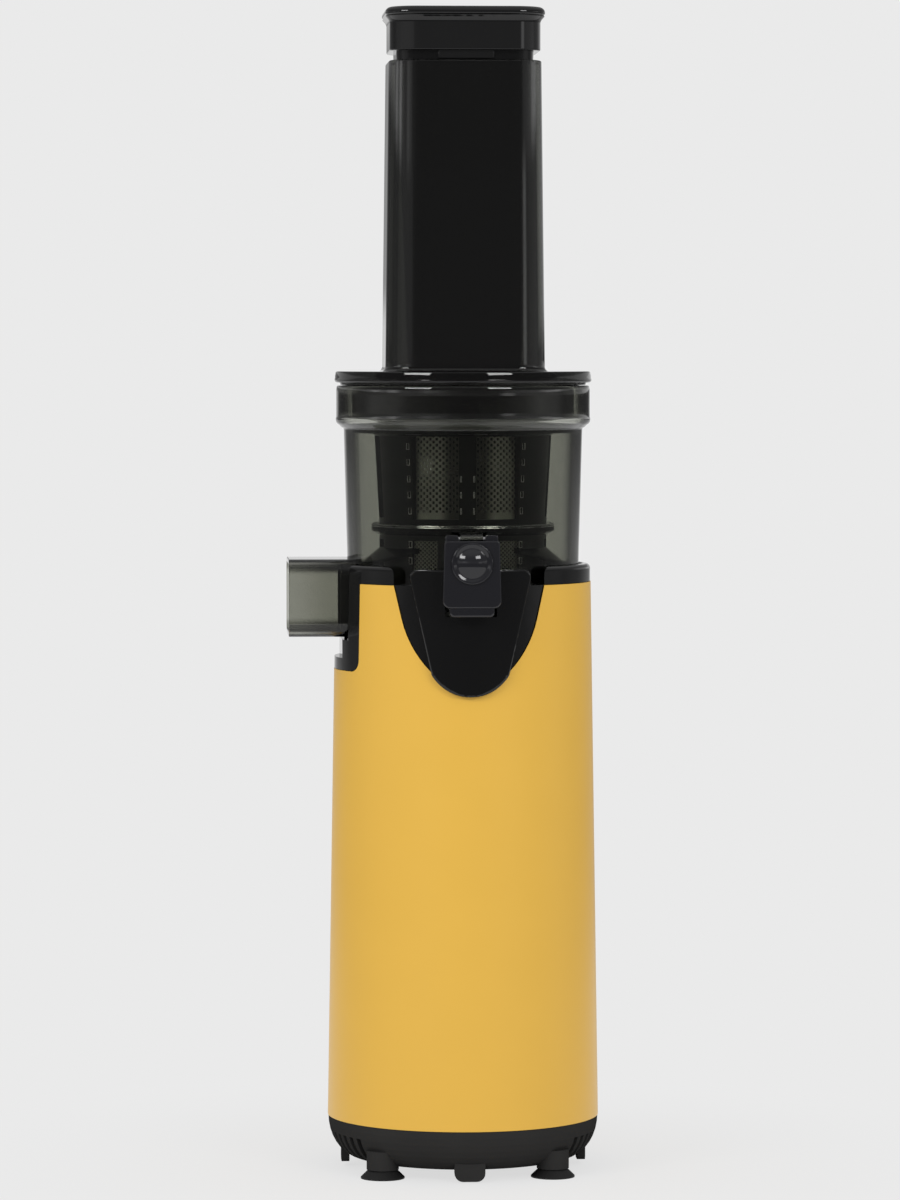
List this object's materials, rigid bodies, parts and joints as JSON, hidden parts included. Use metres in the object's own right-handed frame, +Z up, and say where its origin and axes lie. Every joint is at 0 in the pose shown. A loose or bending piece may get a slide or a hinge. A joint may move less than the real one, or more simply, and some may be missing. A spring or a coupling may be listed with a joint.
{
  "type": "cold press juicer",
  "caption": "Upright slow juicer with a tapered yellow body on suction feet, a smoked bowl with pulp and juice spouts, a twist-on lid with a tall feed chute and a black food pusher.",
  "frame": {"origin": "on the auger's axis, at the level of the table that the suction feet stand on", "axes": "+Z up along the auger's axis; -Y towards the juice spout at the front; -X towards the pulp spout"},
  "size_m": [0.113, 0.1125, 0.42],
  "materials": {
    "yellow_gloss": "high-gloss warm yellow",
    "black_gloss": "high-gloss black",
    "black_satin": "satin black",
    "ring_grey": "grey moulded plastic",
    "base_black": "satin black, slightly grey",
    "foot_rubber": "matt black rubber",
    "steel": "turned or ground steel",
    "zinc_steel": "zinc-plated sheet",
    "die_cast": "as die cast",
    "magnet": "dark sintered ferrite",
    "copper": "varnished copper winding and core",
    "brass": "turned brass",
    "circuit_board": "green lacquered board",
    "lead_sleeve": "red sleeve",
    "gear_plastic": "natural gear plastic",
    "coupling_plastic": "white engineering plastic",
    "seal_red": "silicone rubber",
    "seal_grey": "translucent grey silicone rubber",
    "smoke_clear": "clear smoked copolyester",
    "smoke_dark": "clear dark-smoked copolyester",
    "screen_steel": "fine perforated steel",
    "auger_plastic": "satin black engineering plastic",
    "cap_dark": "satin blue-black"
  },
  "bodies": {
    "base": {"body_shell": "yellow_gloss", "boss_ring": "ring_grey", "seat_housing": "black_gloss", "spout_apron": "black_gloss", "base_cover": "base_black", "suction_feet": "foot_rubber", "base_screws": "steel", "cord_gland": "foot_rubber", "switch_housing": "black_satin", "control_board": "circuit_board", "internal_wiring": "lead_sleeve", "motor_can": "zinc_steel", "motor_end_cap": "black_satin", "motor_magnets": "magnet", "motor_bearings": "steel", "gearbox_plate": "die_cast", "ring_gear": "gear_plastic", "gearbox_cover": "die_cast", "gearbox_screws": "steel", "motor_screws": "steel", "output_bearing": "steel", "shaft_seal": "seal_red"},
    "switch": {"switch_rocker": "black_satin"},
    "rotor": {"rotor_core": "copper", "rotor_shaft": "steel", "motor_pinion": "brass", "cooling_fan": "black_satin"},
    "first_stage": {"first_carrier": "steel", "first_planet_pins": "steel"},
    "first_planet_a": {"first_planet_1": "gear_plastic"},
    "first_planet_b": {"first_planet_2": "gear_plastic"},
    "first_planet_c": {"first_planet_3": "gear_plastic"},
    "output_stage": {"output_carrier": "steel", "second_planet_pins": "steel", "drive_coupling": "coupling_plastic"},
    "second_planet_a": {"second_planet_1": "steel"},
    "second_planet_b": {"second_planet_2": "steel"},
    "second_planet_c": {"second_planet_3": "steel"},
    "bowl": {"juice_bowl": "smoke_clear", "bowl_floor": "smoke_clear", "bowl_boss": "smoke_clear", "pulp_spout": "smoke_clear", "juice_spout": "smoke_clear", "bowl_seal": "seal_grey", "pulp_plug": "seal_grey", "strainer_frame": "black_satin", "strainer_base": "black_satin", "strainer_screen": "screen_steel"},
    "auger": {"auger_screw": "auger_plastic", "auger_shaft": "steel"},
    "spout_cap": {"spout_cap": "cap_dark", "cap_seal": "seal_grey", "cap_hinge_pin": "steel"},
    "gasket": {"lid_gasket": "seal_grey"},
    "lid": {"lid_disc": "smoke_dark", "lid_skirt": "smoke_dark", "feed_chute": "smoke_dark"},
    "pusher": {"food_pusher": "black_gloss"}
  },
  "joints": [
    {"name": "switch_rock", "type": "hinge", "parent": "base", "child": "switch", "pos_m": [0, 0.04927, 0.052], "axis": [1, 0, 0], "range_deg": [-10, 10]},
    {"name": "motor_spin", "type": "hinge", "parent": "base", "child": "rotor", "pos_m": [0, 0, 0], "axis": [0, 0, 1], "continuous": true},
    {"name": "first_stage_spin", "type": "hinge", "parent": "base", "child": "first_stage", "pos_m": [0, 0, 0], "axis": [0, 0, 1], "continuous": true},
    {"name": "first_planet_a_spin", "type": "hinge", "parent": "first_stage", "child": "first_planet_a", "pos_m": [0.0189, 0, 0], "axis": [0, 0, 1], "continuous": true},
    {"name": "first_planet_b_spin", "type": "hinge", "parent": "first_stage", "child": "first_planet_b", "pos_m": [-0.00945, 0.01637, 0], "axis": [0, 0, 1], "continuous": true},
    {"name": "first_planet_c_spin", "type": "hinge", "parent": "first_stage", "child": "first_planet_c", "pos_m": [-0.00945, -0.01637, 0], "axis": [0, 0, 1], "continuous": true},
    {"name": "output_spin", "type": "hinge", "parent": "base", "child": "output_stage", "pos_m": [0, 0, 0], "axis": [0, 0, 1], "continuous": true},
    {"name": "second_planet_a_spin", "type": "hinge", "parent": "output_stage", "child": "second_planet_a", "pos_m": [0.0189, 0, 0], "axis": [0, 0, 1], "continuous": true},
    {"name": "second_planet_b_spin", "type": "hinge", "parent": "output_stage", "child": "second_planet_b", "pos_m": [-0.00945, 0.01637, 0], "axis": [0, 0, 1], "continuous": true},
    {"name": "second_planet_c_spin", "type": "hinge", "parent": "output_stage", "child": "second_planet_c", "pos_m": [-0.00945, -0.01637, 0], "axis": [0, 0, 1], "continuous": true},
    {"name": "bowl_lift", "type": "slide", "parent": "base", "child": "bowl", "axis": [0, 0, 1], "range_m": [0, 0.06]},
    {"name": "auger_spin", "type": "hinge", "parent": "bowl", "child": "auger", "pos_m": [0, 0, 0], "axis": [0, 0, 1], "continuous": true},
    {"name": "cap_swing", "type": "hinge", "parent": "bowl", "child": "spout_cap", "pos_m": [0, -0.0518, 0.2302], "axis": [-1, 0, 0], "range_deg": [0, 100]},
    {"name": "lid_lift", "type": "slide", "parent": "bowl", "child": "gasket", "axis": [0, 0, 1], "range_m": [0, 0.05]},
    {"name": "lid_turn", "type": "hinge", "parent": "gasket", "child": "lid", "pos_m": [0, 0, 0], "axis": [0, 0, 1], "range_deg": [-30, 0]},
    {"name": "pusher_slide", "type": "slide", "parent": "lid", "child": "pusher", "axis": [0, 0, 1], "range_m": [0, 0.13]}
  ],
  "couplings": [
    {"joint": "first_stage_spin", "follows": "motor_spin", "ratio": 0.16667},
    {"joint": "first_planet_a_spin", "follows": "motor_spin", "ratio": -0.41667},
    {"joint": "first_planet_b_spin", "follows": "motor_spin", "ratio": -0.41667},
    {"joint": "first_planet_c_spin", "follows": "motor_spin", "ratio": -0.41667},
    {"joint": "output_spin", "follows": "motor_spin", "ratio": 0.027778},
    {"joint": "second_planet_a_spin", "follows": "motor_spin", "ratio": -0.069444},
    {"joint": "second_planet_b_spin", "follows": "motor_spin", "ratio": -0.069444},
    {"joint": "second_planet_c_spin", "follows": "motor_spin", "ratio": -0.069444},
    {"joint": "auger_spin", "follows": "motor_spin", "ratio": 0.027778}
  ]
}
